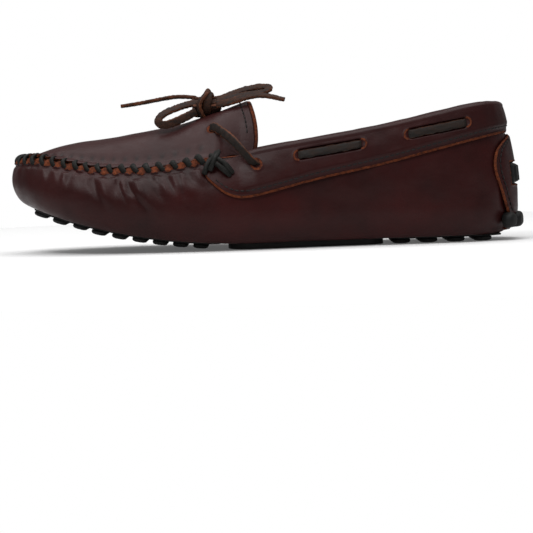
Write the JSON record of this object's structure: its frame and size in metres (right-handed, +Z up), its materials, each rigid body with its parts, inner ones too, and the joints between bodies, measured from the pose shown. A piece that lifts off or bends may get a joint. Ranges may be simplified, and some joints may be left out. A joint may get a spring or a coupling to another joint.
{
  "type": "driving moccasin",
  "caption": "Left leather driving moccasin with a whip-stitched apron, a thong laced through the collar and tied in a bow, and a nubbed rubber sole.",
  "frame": {"origin": "on the ground under the middle of the shoe's length and width", "axes": "+X from heel to toe, +Y to the outer side of the left foot, +Z up"},
  "size_m": [0.2843, 0.0954, 0.0905],
  "materials": {
    "pull_up_leather": "waxed dark burgundy-brown pull-up leather",
    "collar_leather": "waxed dark burgundy-brown pull-up leather, thinner",
    "lace_leather": "dark thong with a raw rust edge",
    "waxed_cord": "thick waxed dark green-black cord",
    "thread": "fine dark thread",
    "lining": "matt black lining",
    "stiffener": "pressed fibre",
    "foam": "soft foam",
    "sole_rubber": "matt black rubber"
  },
  "bodies": {
    "upper": {"wrap_leather": "pull_up_leather", "apron": "pull_up_leather", "collar_band": "collar_leather", "topline_roll": "collar_leather", "collar_facing": "collar_leather", "heel_patch": "collar_leather", "quarter_lining": "lining", "sock_liner": "lining", "heel_counter": "stiffener", "footbed_foam": "foam", "collar_thread": "thread", "heel_patch_thread": "thread", "apron_stitches": "waxed_cord", "collar_tie_outer": "waxed_cord", "collar_tie_inner": "waxed_cord", "lace_run": "lace_leather", "lace_crossing_outer": "lace_leather", "lace_crossing_inner": "lace_leather", "bow_knot": "lace_leather", "heel_bar": "sole_rubber", "heel_nubs": "sole_rubber", "forefoot_sole": "sole_rubber", "waist_sole": "sole_rubber", "heel_sole": "sole_rubber"},
    "tongue": {"tongue": "pull_up_leather", "tongue_lining": "lining", "tongue_thread": "thread"},
    "front_bow": {"bow_front_end": "lace_leather", "bow_front_loop": "lace_leather"},
    "rear_bow": {"bow_rear_end": "lace_leather", "bow_rear_loop": "lace_leather"}
  },
  "joints": [
    {"name": "tongue_lift", "type": "hinge", "parent": "upper", "child": "tongue", "pos_m": [0.024, 0, 0.0795], "axis": [0, 1, 0], "range_deg": [0, 17]},
    {"name": "rear_bow_lift", "type": "hinge", "parent": "upper", "child": "rear_bow", "pos_m": [0.032, 0, 0.081], "axis": [0, 1, 0], "range_deg": [0, 17]},
    {"name": "front_bow_lift", "type": "hinge", "parent": "upper", "child": "front_bow", "pos_m": [0.032, 0, 0.081], "axis": [0, -1, 0], "range_deg": [0, 25]}
  ],
  "couplings": [
    {"joint": "rear_bow_lift", "follows": "tongue_lift", "ratio": 1}
  ]
}
